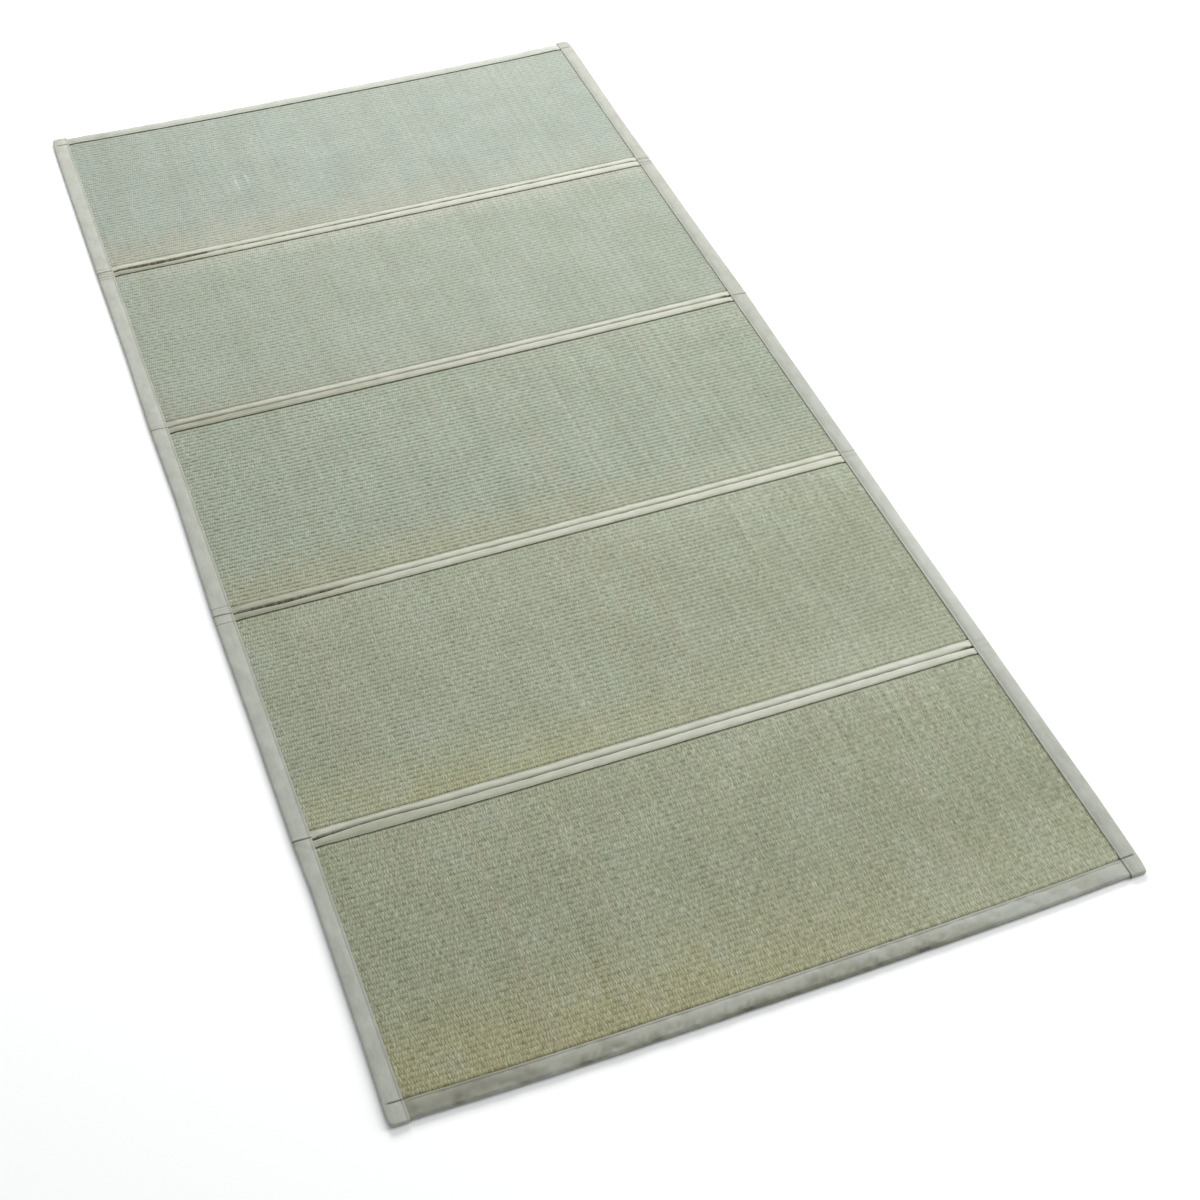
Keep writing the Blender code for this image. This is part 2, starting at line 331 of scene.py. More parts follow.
def rush_panel(number, rib_depth, brick, finish):
    """A panel: every point is (x, front + (rear - front) * s, level + ribs) over a grid of x and s.

    The level dips where the panel passes under a tape, and again where two tapes cross.
    """
    rear_node = "end_binding_rear" if number == 1 else f"fold_{number - 1}_tape_front"
    front_node = "end_binding_front" if number == 5 else f"fold_{number}_tape_rear"
    rear_stitched = edge_lines(rear_node, 0)[0]
    front_stitched = edge_lines(front_node, 0)[1]

    x = np.linspace(-HALF_TUCK, HALF_TUCK, COLUMNS + 1)[None, :]
    front_seam = front_stitched(x)
    rear_seam = rear_stitched(x)
    front = front_seam - PANEL_TUCK
    rear = rear_seam + PANEL_TUCK
    rib_count = round(float((rear - front).mean()) / RIB_PITCH)
    ribs = np.arange(rib_count * ROWS_PER_RIB + 1)[:, None] / ROWS_PER_RIB
    share = ribs / rib_count
    inner = np.minimum(ribs, rib_count - ribs) > 0.5
    seed = 40 * number
    below_line = rib_wander(x, np.floor(ribs), seed)
    above_line = rib_wander(x, np.floor(ribs) + 1.0, seed)
    wander = mixed(ribs - np.floor(ribs), below_line, above_line)
    y = front + (rear - front) * share + np.where(inner, wander, 0.0)

    side = pressed(x)
    depth_in = np.maximum(front_seam - y, y - rear_seam)
    under = ramp(depth_in, -5 * MM, -1 * MM)
    high, low = (
        mixed(under, mixed(side, open_level, tucked), mixed(side, tucked, crossed))
        for open_level, tucked, crossed in (PANEL_HEIGHTS, PANEL_DEPTHS)
    )
    loose = (1.0 - under) * (1.0 - side)
    sag = 0.22 * noise(x / (130 * MM), y / (90 * MM), 3) + 0.1 * noise(x / (40 * MM), y / (150 * MM), 4)
    relief = rib_relief(x, ribs, seed, brick)
    depth = rib_depth * (0.5 + 0.5 * loose)
    top = high + depth * (relief - 1.0) + sag * loose * MM

    below = slice(None, None, UNDER_STEP)
    under_relief = rib_relief(x[:, below], ribs, seed + 20, brick)
    bottom = low[:, below] + depth[:, below] * np.clip(1.0 - under_relief, 0.0, 1.2)

    rows, columns = y.shape
    wide = np.broadcast_to(x, y.shape)
    tops = np.stack([wide, y, top], axis=-1).reshape(-1, 3)
    bottoms = np.stack([wide[:, below], y[:, below], bottom], axis=-1).reshape(-1, 3)
    under_columns = bottom.shape[1]
    start = rows * columns
    top_index = np.arange(start).reshape(rows, columns)
    under_index = start + np.arange(rows * under_columns).reshape(rows, under_columns)

    def end_wall(row, flip):
        """One many-sided face for each step of the underside, up to the finer steps of the top."""
        fine = top_index[row, :-1].reshape(-1, UNDER_STEP)
        last = top_index[row, UNDER_STEP::UNDER_STEP, None]
        below_wall = [under_index[row, 1:, None], under_index[row, :-1, None]]
        wall = np.concatenate([fine, last, *below_wall], axis=1)
        return wall if flip else wall[:, ::-1]

    def side_wall(column, flip):
        over, beneath = top_index[:, column], under_index[:, column]
        wall = np.stack([over[:-1], over[1:], beneath[1:], beneath[:-1]], axis=-1)
        return wall if flip else wall[:, ::-1]

    groups = [
        grid_faces(rows, columns),
        grid_faces(rows, under_columns, start, flip=True),
        end_wall(0, False),
        end_wall(-1, True),
        side_wall(0, True),
        side_wall(-1, False),
    ]
    beads = bead_count(x, np.round(ribs), seed)
    weave = np.stack(np.broadcast_arrays(wide / STEM_PITCH, ribs, beads), -1)
    weave = np.concatenate([weave.reshape(-1, 3), weave[:, below].reshape(-1, 3)])
    # the share along the panel, and how near a point is to a tape's hem, where painted shade darkens
    # the rush
    shares = np.stack(np.broadcast_arrays(share, bell(depth_in + 0.8 * MM, 1.8 * MM), 0.0), -1)
    shares = np.concatenate([shares.reshape(-1, 3), shares[:, below].reshape(-1, 3)])
    piece = build_piece(
        f"woven_panel_{number}", np.concatenate([tops, bottoms]), groups,
        {"weave": weave, "panel": shares}, finish,
    )
    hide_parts(f"rush_panel_{number}")


# ---------------------------------------------------------------- folded tapes


def tape_profile(width, share, make, shade, slot_floor):
    """Round a folded tape, section by section: distance from the rolled edge, height, and weights.

    The outside runs from the lower hem over the lower stitch ditch and along the flat underside,
    round the rolled edge as an ellipse, over the crown, down into the upper stitch ditch and up
    again to the upper hem; the slot follows. Two weights say how far a crease moves a point down
    and inwards. The last says how dark the painted shade on the cloth is there: in the ditch, at
    the hem, and low on the rolled edge, where shade is 1 for a full shadow at its foot, and up to 2
    where a fold gapes and the shadow climbs the edge.
    """
    bottom = mixed(share, 0.0, PRESSED_BOTTOM)
    top = mixed(share, TAPE_TOP, PRESSED_TOP)
    wall = mixed(share, TAPE_WALL, PRESSED_WALL)
    ceiling = mixed(share, TOP_WALL, PRESSED_WALL)
    full = 1.0 - share
    radius = (top - bottom) / 2
    reach = radius * make.plump
    stitch = width - make.inset
    spare = stitch - reach
    at_foot = np.minimum(shade, 0.95)
    gaping = np.maximum(shade - 1.0, 0.0)
    rows = [
        (width, bottom + 0.2 * MM * full, 0.0, 0.0, 0.9),
        (stitch + 0.8 * MM, bottom, 0.0, 0.0, 0.0),
        (stitch, bottom + 0.5 * MM * full, 0.0, 0.0, make.ditch),
        (stitch - 0.8 * MM, bottom, 0.0, 0.0, 0.0),
        (mixed(0.5, reach, stitch), bottom, 0.0, 0.0, 0.0),
    ]
    for degrees in (-90, -60, -30, 0, 30, 60, 90):
        angle = math.radians(degrees)
        rows.append(
            (
                reach - reach * math.cos(angle),
                bottom + radius + radius * math.sin(angle),
                max(0.0, math.sin(angle)),
                max(0.0, math.cos(angle) * (0.4 + 0.6 * math.sin(max(angle, 0.0)))),
                at_foot * float(np.interp(degrees, (0, 30), (1.0, 0.0)))
                + gaping * float(np.interp(degrees, (0, 30, 60, 90), (0.0, 1.0, 0.8, 0.0))),
            )
        )
    rows += [
        (reach + 0.3 * spare, top + 0.25 * MM * full, 1.0, 0.0, 0.0),
        (reach + 0.6 * spare, top + 0.15 * MM * full, 1.0, 0.0, 0.0),
        (stitch - 0.9 * MM, top - 0.15 * MM * full, 1.0, 0.0, 0.05),
        (stitch, top - 0.65 * MM * full, 0.8, 0.0, make.ditch),
        (stitch + 0.8 * MM, top - 0.1 * MM * full, 0.8, 0.0, 0.0),
        (width - 0.3 * MM, top - 0.3 * MM * full, 0.5, 0.0, 0.3),
        (width, top - 0.65 * MM * full - 0.05 * MM, 0.2, 0.0, 0.9),
        (width, top - ceiling, 0.0, 0.0, 0.9),
        (slot_floor, top - ceiling, 0.0, 0.0, 0.0),
        (slot_floor, bottom + wall, 0.0, 0.0, 0.0),
        (width, bottom + wall, 0.0, 0.0, 0.0),
    ]
    return [np.stack(np.broadcast_arrays(*column, width)[:-1], -1) for column in zip(*rows)]


def tape_mesh(along, rolled, foot, stitched, share, relief, make, shade, slot_floor, end_scale, turned):
    """Points and faces of a folded tape, a profile carried along a line.

    along is the place along the tape; rolled, foot and stitched are where its rolled edge, the
    foot of that edge and its hem run beside the line. share is how far it is pressed flat.
    relief(along, distance) gives the depth of the creases and how dark their painted shade is.
    end_scale squeezes its height towards the middle. turned is True for a tape that runs along Y.
    """
    width = np.abs(stitched - rolled)
    side = np.sign(stitched - rolled)[:, None]
    distance, height, down, inward, painted_shade = tape_profile(width, share, make, shade, slot_floor)
    depth, dark = relief(along[:, None], distance)
    stitch = width[:, None] - make.inset
    near_stitch = ramp(distance, stitch - 5 * MM, stitch - 1 * MM)
    depth = mixed(near_stitch, np.minimum(depth, DEEPEST), np.clip(depth, -0.3 * MM, 0.35 * MM))
    # painted shade in the ditch, at the hem and low on the rolled edge, a little uneven along the tape
    painted_shade = painted_shade * (0.8 + 0.3 * noise(along[:, None] / (2.9 * MM), distance / (9 * MM), 17))
    dark = np.where(painted_shade > 0.0, np.maximum(dark, painted_shade), dark)
    foot_shift = (foot - rolled)[:, None] * (1.0 - ramp(height, 1.5 * MM, 4.2 * MM))
    foot_shift = foot_shift * ramp(-distance, -3.5 * MM, -1.5 * MM)
    middle = (height.max(axis=1) + height.min(axis=1))[:, None] / 2
    height = middle + (height - depth * down - middle) * end_scale[:, None]
    across = rolled[:, None] + side * (distance + 0.5 * depth * inward) + foot_shift
    wide = np.broadcast_to(along[:, None], across.shape)
    points = np.stack([across, wide, height] if turned else [wide, across, height], axis=-1)
    sections, corners = across.shape
    steps = np.hypot(np.diff(across), np.diff(height))
    around = np.concatenate([np.zeros((sections, 1)), np.cumsum(steps, axis=1)], axis=1)
    cloth = np.stack([wide, around, np.broadcast_to(dark, wide.shape)], axis=-1)
    flip = bool(side[0, 0] > 0) == turned
    index = np.arange(sections * corners).reshape(sections, corners)
    caps = [index[:1] if flip else index[:1, ::-1], index[-1:, ::-1] if flip else index[-1:]]
    faces = [grid_faces(sections, corners, flip=flip, closed=True)] + caps
    return points.reshape(-1, 3), faces, cloth.reshape(-1, 3)


def cross_relief(node, seed, make):
    """Soft slanting twists in a tape across the mat, its long wrinkles, a duller tone all over, and
    painted shade in its twists and wrinkles, towards its left end and on the front binding.
    """
    shade_and_tone = TAPE_SHADE_AND_TONE[node]
    wrinkles = [row for row in WRINKLES if row.node == node]

    def relief(x, distance):
        slant = x + 1.3 * distance
        twists = noise(slant / (13 * MM), distance / (11 * MM), seed)
        swells = noise(x / (37 * MM), distance / (14 * MM), seed + 1)
        ripples = noise(slant / (5 * MM), distance / (5 * MM), seed + 2)
        depth = (0.26 * twists + 0.2 * swells + 0.1 * ripples) * make.twist * (1.0 - pressed(x)) * MM
        # painted shade in the twists, and a duller tone over the whole tape
        dark = np.clip((depth - 0.1 * MM) / (4.0 * MM), 0.0, 0.25) + shade_and_tone.dull
        # painted shade towards the left end
        dark = dark + 0.08 * ramp(x, 0.3, -0.2) + shade_and_tone.left * ramp(x, shade_and_tone.start, -0.46)
        # painted shade on the front binding near its rolled edge, none at its right end and weaker at
        # its left end
        grime = ramp(distance, 19 * MM, 5 * MM) * ramp(x, 0.4, 0.1) * (1.0 - 0.6 * ramp(x, -0.2, -0.46))
        dark = dark + make.grime * grime * (0.9 + 0.9 * swells + 0.7 * ripples)
        # painted shade right along the rolled edge, darker a little right of the middle and lighter
        # towards the left end
        rim = 1.5 * bell(x - 0.1, 0.16) - 1.3 * ramp(x, -0.1, -0.4)
        dark = dark + make.grime * rim * ramp(distance, 8 * MM, 2 * MM)
        for row in wrinkles:
            inside = ramp(x, row.start, row.start + 25 * MM) * ramp(x, row.end, row.end - 25 * MM)
            offset = distance - row.distance - noise(x / (28 * MM), 0.4, seed + 7) * MM
            trough = bell(offset, 1.5 * MM)
            depth = depth + row.depth * inside * (trough - 0.5 * bell(offset - 3 * MM, 2 * MM))
            # painted shade in the wrinkle's trough
            dark = np.maximum(dark, row.dark * inside * trough)
        return depth, dark

    return relief


def fold_foot(rolled, other):
    """The foot of a rolled edge runs just short of the middle of the gap to the other tape."""
    gap_middle = (rolled + other) / 2
    return gap_middle + 0.2 * MM * np.sign(rolled - gap_middle)


def cross_tape(name, node, rear_side, finish, seed, make, partner=None):
    """A tape across the mat; returns the line of its stitches.

    rear_side is True where its hem lies behind its rolled edge. partner is the other tape of a fold.
    """
    low, high = edge_lines(node, 0)
    count = round(2 * HALF_TUCK / TAPE_STEP)
    x = np.linspace(-HALF_TUCK, HALF_TUCK, count + 1)
    rolled, stitched = (low(x), high(x)) if rear_side else (high(x), low(x))
    foot = rolled
    shade = make.shade * (0.2 + 0.8 * ramp(x, -0.4, 0.0)) * (0.6 + 0.4 * ramp(x, 0.35, 0.15))
    if partner:
        partner_low, partner_high = edge_lines(partner, 0)
        other = partner_high(x) if rear_side else partner_low(x)
        foot = fold_foot(rolled, other)
        # painted shade in the groove where the fold is closed
        groove = TAPE_SHADE_AND_TONE[node].groove * (1.0 + 0.8 * noise(x / (5 * MM), 0.7, seed + 8))
        gape = np.clip((np.abs(rolled - other) - 0.9 * MM) / (1.6 * MM), 0.0, 1.0)
        shade = 1.0 + np.maximum(gape, groove)
    stitched = stitched + 0.25 * noise(x / (21 * MM), 0.5, seed + 5) * MM
    points, faces, cloth = tape_mesh(
        x, rolled, foot, stitched, pressed(x), cross_relief(node, seed, make),
        make, shade, SLOT_FLOOR, np.ones_like(x), turned=False,
    )
    piece = build_piece(name, points, faces, {"cloth": cloth}, finish)
    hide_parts(node)
    return x, stitched + np.sign(rolled - stitched) * make.inset


def side_relief(side, seams):
    """The creases of a side binding at the folds, its corner seams, and soft unevenness along it.

    The right one has a pale painted highlight towards the front, most at its outer edge.
    """
    rows = [row for row in CREASES if row.side == side]

    def relief(y, distance):
        outward = 1.0 - distance / SIDE_WIDTH
        depth = 0.16 * noise(y / (33 * MM), distance / (12 * MM), 70 + side) * MM
        depth = depth + 0.1 * noise(y / (9 * MM), distance / (10 * MM), 75 + side) * MM
        dark = np.zeros_like(depth)
        for row in rows:
            middle = FOLD_PLACES[row.fold - 1] + row.offset + row.lean * (outward - 0.5)
            trough = bell(y - middle, row.width)
            ridge = bell(y - middle - 1.9 * row.width, 1.3 * row.width)
            ridge = ridge + 0.7 * bell(y - middle + 1.9 * row.width, 1.3 * row.width)
            depth = depth + row.depth * (trough - 0.4 * ridge)
            # painted shade in the crease
            dark = np.maximum(dark, row.dark * trough)
        for place in seams:
            seam = bell(y - place - 0.4 * MM * noise(distance / (7 * MM), 0.3, 9), 1.2 * MM)
            seam = seam * ramp(distance, 3.0 * MM, 6.0 * MM)
            depth = depth + 0.75 * MM * seam
            dark = np.maximum(dark, 0.95 * seam)
        if side > 0:
            # painted highlight on the right binding towards the front, most at its outer edge
            dark = dark - 0.34 * bell(y + 0.46, 0.25) * (0.4 + 0.6 * outward)
        return depth, dark

    return relief


def side_places(front, rear, seams):
    """Places along a side binding, close together at its ends, at the corner seams and at folds."""
    ends = np.array([0.0, 0.3, 0.8, 1.6, 2.6, 4.0, 6.0, 9.0]) * MM
    busy = [np.arange(place - 26 * MM, place + 24 * MM, 0.9 * MM) for place in FOLD_PLACES]
    busy += [np.arange(place - 3 * MM, place + 3 * MM, 0.5 * MM) for place in seams]
    calm = np.arange(front + 14 * MM, rear - 14 * MM, 8 * MM)
    crowd = np.concatenate(busy)
    calm = calm[np.abs(calm[:, None] - crowd[None, :]).min(axis=1) > 4 * MM]
    return np.unique(np.round(np.concatenate([front + ends, rear - ends, crowd, calm]), 6))


def side_binding(side, finish):
    """A tape along a long edge, rounded at its two corners and closed at its ends.

    Returns the line of its stitches. Its corner seams lie over the hems of the end bindings.
    """
    word = "left" if side < 0 else "right"
    node = f"side_binding_{word}"
    low_corner, high_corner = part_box(node)
    front, rear = low_corner[1], high_corner[1]
    seam_place = side * (HALF_FIELD + 10 * MM)
    front_hem = edge_lines("end_binding_front", 0)[1]
    rear_hem = edge_lines("end_binding_rear", 0)[0]
    seams = [float(front_hem(seam_place)), float(rear_hem(seam_place))]
    y = side_places(front, rear, seams)
    outer_line = edge_lines(node, 1)[0 if side < 0 else 1]
    outer = outer_line(np.clip(y, front + CORNER_ROUND, rear - CORNER_ROUND))
    to_end = np.minimum(y - front, rear - y)
    cut = 1.0 - np.sqrt(1.0 - (1.0 - np.clip(to_end / CORNER_ROUND, 0.0, 1.0)) ** 2)
    outer = outer - side * CORNER_CUT * cut
    hem = side * HALF_FIELD + 0.2 * noise(y / (40 * MM), 0.5, 30 + side) * MM
    closing = to_end < END_CLOSE
    slot_floor = np.where(closing, np.abs(hem - outer) - 0.2 * MM, SLOT_FLOOR)
    end_scale = 0.72 + 0.28 * np.sqrt(1.0 - (1.0 - np.clip(to_end / (2.6 * MM), 0.0, 1.0)) ** 2)
    end_scale = np.where(closing, end_scale, np.maximum(end_scale, 0.97))
    points, faces, cloth = tape_mesh(
        y, outer, outer, hem, np.zeros_like(y), side_relief(side, seams),
        LONG_EDGE, LONG_EDGE.shade, slot_floor, end_scale, turned=True,
    )
    name = f"long_edge_tape_{word}"
    piece = build_piece(name, points, faces, {"cloth": cloth}, finish)
    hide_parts(node)
    return y, hem + side * EDGE_STITCH


# ---------------------------------------------------------------- stitches


def stitch_row(name, along, seam, turned, finish):
    """Machine stitches, above and below: slim eight-sided grains end to end along a seam line."""
    count = int((along[-1] - along[0] - 2 * STITCH_ENDS) / STITCH_STEP)
    middle = (along[0] + along[-1]) / 2
    places = middle + (np.arange(count) - (count - 1) / 2) * STITCH_STEP
    line = np.interp(places, along, seam)
    slope = np.gradient(line, places)
    grain = np.array([(-0.5, 0, 0), (0.5, 0, 0), (0, 1, 0), (0, -1, 0), (0, 0, 1), (0, 0, -1)])
    grain = grain * np.array([STITCH_LENGTH, STITCH_RADIUS, STITCH_RADIUS])
    upper = [(1, 2, 4), (2, 0, 4), (0, 3, 4), (3, 1, 4)]
    faces = np.array(upper + [(2, 1, 5), (0, 2, 5), (3, 0, 5), (1, 3, 5)])
    rows = []
    groups = []
    for number, height in enumerate(STITCH_HEIGHTS):
        run = places[:, None] + grain[None, :, 0]
        beside = line[:, None] + slope[:, None] * grain[None, :, 0] + grain[None, :, 1]
        up = np.broadcast_to(height + grain[None, :, 2], run.shape)
        columns = [beside, run, up] if turned else [run, beside, up]
        rows.append(np.stack(columns, axis=-1).reshape(-1, 3))
        start = (number * count + np.arange(count)) * len(grain)
        group = (start[:, None, None] + faces[None]).reshape(-1, 3)
        groups.append(group[:, ::-1] if turned else group)
    build_piece(name, np.concatenate(rows), groups, {}, finish)


# ---------------------------------------------------------------- shader helpers


class Tree:
    """Adds nodes to a node tree, and links or sets their inputs in order."""

    def __init__(self, tree):
        self.tree = tree

    def feed(self, socket, value):
        """Link a socket where its value comes from another node, and otherwise set it."""
        if isinstance(value, bpy.types.NodeSocket):
            self.tree.links.new(value, socket)
        elif value is not None:
            socket.default_value = value

    def add(self, kind, inputs=(), **settings):
        made = self.tree.nodes.new(kind)
        for setting, value in settings.items():
            setattr(made, setting, value)
        pairs = inputs.items() if isinstance(inputs, dict) else enumerate(inputs)
        for key, value in pairs:
            self.feed(made.inputs[key], value)
        return made

    def math(self, operation, *inputs, clamp=False):
        return self.add("ShaderNodeMath", inputs, operation=operation, use_clamp=clamp).outputs[0]

    def times(self, first, second, clamp=False):
        return self.math("MULTIPLY", first, second, clamp=clamp)

    def vector(self, operation, *inputs):
        return self.add("ShaderNodeVectorMath", inputs, operation=operation).outputs

    def between(self, value, start, end, low=0.0, high=1.0):
        made = self.add(
            "ShaderNodeMapRange",
            {"Value": value, "From Min": start, "From Max": end, "To Min": low, "To Max": high},
            interpolation_type="SMOOTHSTEP",
        )
        return made.outputs["Result"]

    def mix(self, factor, first, second, blend="MIX"):
        inputs = {0: factor, 6: first, 7: second}
        return self.add("ShaderNodeMix", inputs, data_type="RGBA", blend_type=blend).outputs[2]

    def noise(self, vector, scale, detail, roughness=0.5):
        inputs = {"Vector": vector, "Scale": scale, "Detail": detail, "Roughness": roughness}
        return self.add("ShaderNodeTexNoise", inputs).outputs["Fac"]

    def grain(self, vector, scales, detail, roughness):
        """Noise with a scale of its own along each axis."""
        return self.noise(self.vector("MULTIPLY", vector, scales)[0], 1.0, detail, roughness)


def rgba(red, green, blue):
    return (red, green, blue, 1.0)


def new_group(name, inputs, outputs):
    """A shader node group with named sockets; returns it with a Tree and its input sockets."""
    group = bpy.data.node_groups.new(name, "ShaderNodeTree")
    for label, kind, value in inputs:
        socket = group.interface.new_socket(label, in_out="INPUT", socket_type=kind)
        if value is not None:
            socket.default_value = value
    for label, kind in outputs:
        group.interface.new_socket(label, in_out="OUTPUT", socket_type=kind)
    tree = Tree(group)
    return group, tree, tree.add("NodeGroupInput").outputs, tree.add("NodeGroupOutput").inputs


def rush_weave_group():
    """Stems that pass over one rib and under the next, with painted shade in the valleys where the
    threads bind.

    Weave counts stems across, ribs along, and beads along each rib. Sway shifts the stems sideways,
    in pairs. Brick is how far a valley fades out between one bead and the next, the fourth input is
    how dark the painted shade in the valleys is here, and Ragged is how far, in ribs, a valley
    strays from pair to pair.
    """
    group, tree, given, result = new_group(
        "rush_weave",
        [
            ("Weave", "NodeSocketVector", None),
            ("Sway", "NodeSocketFloat", 0.0),
            ("Brick", "NodeSocketFloat", 1.0),
            ("ValleyShade", "NodeSocketFloat", 1.0),
            ("Ragged", "NodeSocketFloat", 0.0),
        ],
        [
            ("Height", "NodeSocketFloat"),
            ("Valley", "NodeSocketFloat"),
            ("Gap", "NodeSocketFloat"),
            ("Stem", "NodeSocketFloat"),
            ("Cell", "NodeSocketFloat"),
        ],
    )
    parts = tree.add("ShaderNodeSeparateXYZ", (given["Weave"],)).outputs
    rib = tree.math("FLOOR", parts["Y"])
    turn = tree.times(tree.math("MODULO", rib, 2.0), 0.5)
    pair = tree.math("ADD", tree.math("MULTIPLY_ADD", parts["X"], 0.5, turn), given["Sway"])
    stem = tree.math("FLOOR", pair)
    across = tree.math("ABSOLUTE", tree.math("SUBTRACT", tree.math("FRACT", pair), 0.5))
    across = tree.times(across, 2.0)
    phase = tree.math("SUBTRACT", tree.math("FRACT", parts["Y"]), 0.5)
    along = tree.times(tree.math("ABSOLUTE", phase), 2.0)
    bow = tree.math("SUBTRACT", 1.0, tree.math("POWER", across, 2.5))
    arch = tree.math("SUBTRACT", 1.0, tree.math("POWER", along, 3.0))
    tree.feed(result["Height"], tree.times(bow, tree.math("MULTIPLY_ADD", arch, 0.6, 0.4)))

    def chance(first, second):
        """One random value for each pair of whole numbers."""
        spot = tree.add("ShaderNodeCombineXYZ", (first, second, 0.0)).outputs[0]
        made = tree.add("ShaderNodeTexWhiteNoise", {"Vector": spot}, noise_dimensions="2D")
        return made.outputs["Value"]

    kind = chance(stem, turn)
    tree.feed(result["Stem"], kind)
    stray = tree.times(tree.math("SUBTRACT", kind, 0.5), given["Ragged"])
    bound = tree.times(tree.math("ABSOLUTE", tree.math("ADD", phase, stray)), 2.0)
    bead = tree.math("ABSOLUTE", tree.math("SUBTRACT", tree.math("FRACT", parts["Z"]), 0.5))
    joint = tree.times(tree.between(bead, 0.25, 0.5), given["Brick"])
    valley = tree.times(tree.between(bound, 0.5, 0.95), tree.math("SUBTRACT", 1.0, joint))
    # painted shade in the valleys
    tree.feed(result["Valley"], tree.times(valley, given["ValleyShade"]))
    cell = chance(stem, rib)
    tree.feed(result["Cell"], cell)
    # painted shade in the gaps between stems, stronger in some cells than others
    gap = tree.times(tree.between(across, 0.4, 1.0), tree.math("MULTIPLY_ADD", cell, 0.8, 0.2))
    tree.feed(result["Gap"], gap)
    return group


def cloth_weave_group():
    """Plain-woven cotton: crossing threads as a height, and a slow mottle of its colour.

    Cloth is the place along, the place around, and above 0 how dark it is, mostly painted shade in
    creases, ditches, hems and gaps, puckered at each stitch, or below 0 how pale a painted highlight
    makes it.
    """
    group, tree, given, result = new_group(
        "plain_cloth",
        [("Cloth", "NodeSocketVector", None), ("Pitch", "NodeSocketFloat", THREAD_PITCH)],
        [
            ("Height", "NodeSocketFloat"),
            ("Mottle", "NodeSocketFloat"),
            ("Crease", "NodeSocketFloat"),
            ("PaintedHighlight", "NodeSocketFloat"),
        ],
    )
    parts = tree.add("ShaderNodeSeparateXYZ", (given["Cloth"],)).outputs
    turns = tree.math("DIVIDE", math.pi, given["Pitch"])
    warp = tree.math("SINE", tree.times(parts["X"], turns))
    weft = tree.math("SINE", tree.times(parts["Y"], turns))
    flat = tree.add("ShaderNodeCombineXYZ", (parts["X"], parts["Y"], 0.0)).outputs[0]
    fuzz = tree.noise(flat, 900.0, 3.0, 0.6)
    tree.feed(result["Height"], tree.math("MULTIPLY_ADD", tree.times(warp, weft), 0.5, fuzz))
    slow = tree.noise(tree.vector("MULTIPLY", flat, (1.0, 1.6, 1.0))[0], 28.0, 4.0, 0.6)
    threads = tree.noise(tree.vector("MULTIPLY", flat, (0.15, 1.0, 1.0))[0], 700.0, 2.0, 0.5)
    tree.feed(result["Mottle"], tree.math("MULTIPLY_ADD", threads, 0.35, tree.times(slow, 0.65)))
    stitches = tree.math("SINE", tree.times(parts["X"], 2 * math.pi / STITCH_STEP))
    pucker = tree.between(parts["Z"], 0.5, 0.75, 0.0, 0.25)
    puckered = tree.math("MULTIPLY_ADD", stitches, pucker, 1.0)
    tree.feed(result["Crease"], tree.times(parts["Z"], puckered, clamp=True))
    tree.feed(result["PaintedHighlight"], tree.times(parts["Z"], -1.0, clamp=True))
    return group


def principled(name, roughness, sheen=0.0):
    finish = bpy.data.materials.new(name)
    finish.use_nodes = True
    shader = finish.node_tree.nodes["Principled BSDF"]
    shader.inputs["Roughness"].default_value = roughness
    shader.inputs["Sheen Weight"].default_value = sheen
    return finish, Tree(finish.node_tree), shader


# ---------------------------------------------------------------- finishes

# Rush colours of each panel, rear to front: the cooler green at its rear edge, partly the rush's own
# colour and partly a painted bluish reflection, the straw tone at its front edge, partly the rush's own
# colour and partly painted sheen, how far the straw reaches back, how deep its ribs are, how dark the
# painted shade in its valleys is and how broken between beads, how dark the painted shade in the gaps
# between stems is, how strong the strokes along the stems, how much painted beige sheen its rear edge
# has, how pale the right of both edges, and how much duller its middle.
PanelTone = namedtuple("PanelTone", "cool straw reach depth valley brick gap stroke beige right middle")
PANEL_TONES = (
    PanelTone(
        cool=rgba(0.230, 0.266, 0.227), straw=rgba(0.272, 0.278, 0.220), reach=0.28, depth=0.56 * MM,
        valley=0.36, brick=0.4, gap=0.14, stroke=0.07, beige=0.0, right=0.06, middle=0.0,
    ),
    PanelTone(
        cool=rgba(0.231, 0.265, 0.212), straw=rgba(0.234, 0.254, 0.197), reach=0.22, depth=0.60 * MM,
        valley=0.36, brick=0.6, gap=0.24, stroke=0.10, beige=0.6, right=0.0, middle=0.0,
    ),
    PanelTone(
        cool=rgba(0.240, 0.272, 0.209), straw=rgba(0.265, 0.272, 0.182), reach=0.25, depth=0.74 * MM,
        valley=0.38, brick=0.6, gap=0.38, stroke=0.16, beige=0.0, right=0.20, middle=0.01,
    ),
    PanelTone(
        cool=rgba(0.242, 0.267, 0.190), straw=rgba(0.274, 0.276, 0.161), reach=0.30, depth=0.50 * MM,
        valley=0.27, brick=0.6, gap=0.38, stroke=0.22, beige=0.0, right=0.32, middle=0.025,
    ),
    PanelTone(
        cool=rgba(0.241, 0.259, 0.175), straw=rgba(0.265, 0.252, 0.136), reach=0.46, depth=0.32 * MM,
        valley=0.18, brick=0.35, gap=0.32, stroke=0.30, beige=0.0, right=0.28, middle=0.06,
    ),
)

# Pale rubbed marks: which panel, the middle, half the width and half the length, and how pale.
Scuff = namedtuple("Scuff", "panel place size strength")
SCUFFS = (
    Scuff(1, (-0.219, 0.802, 0.007), (0.003, 0.026, 1.0), 0.34),
    Scuff(1, (-0.199, 0.814, 0.007), (0.003, 0.022, 1.0), 0.26),
)

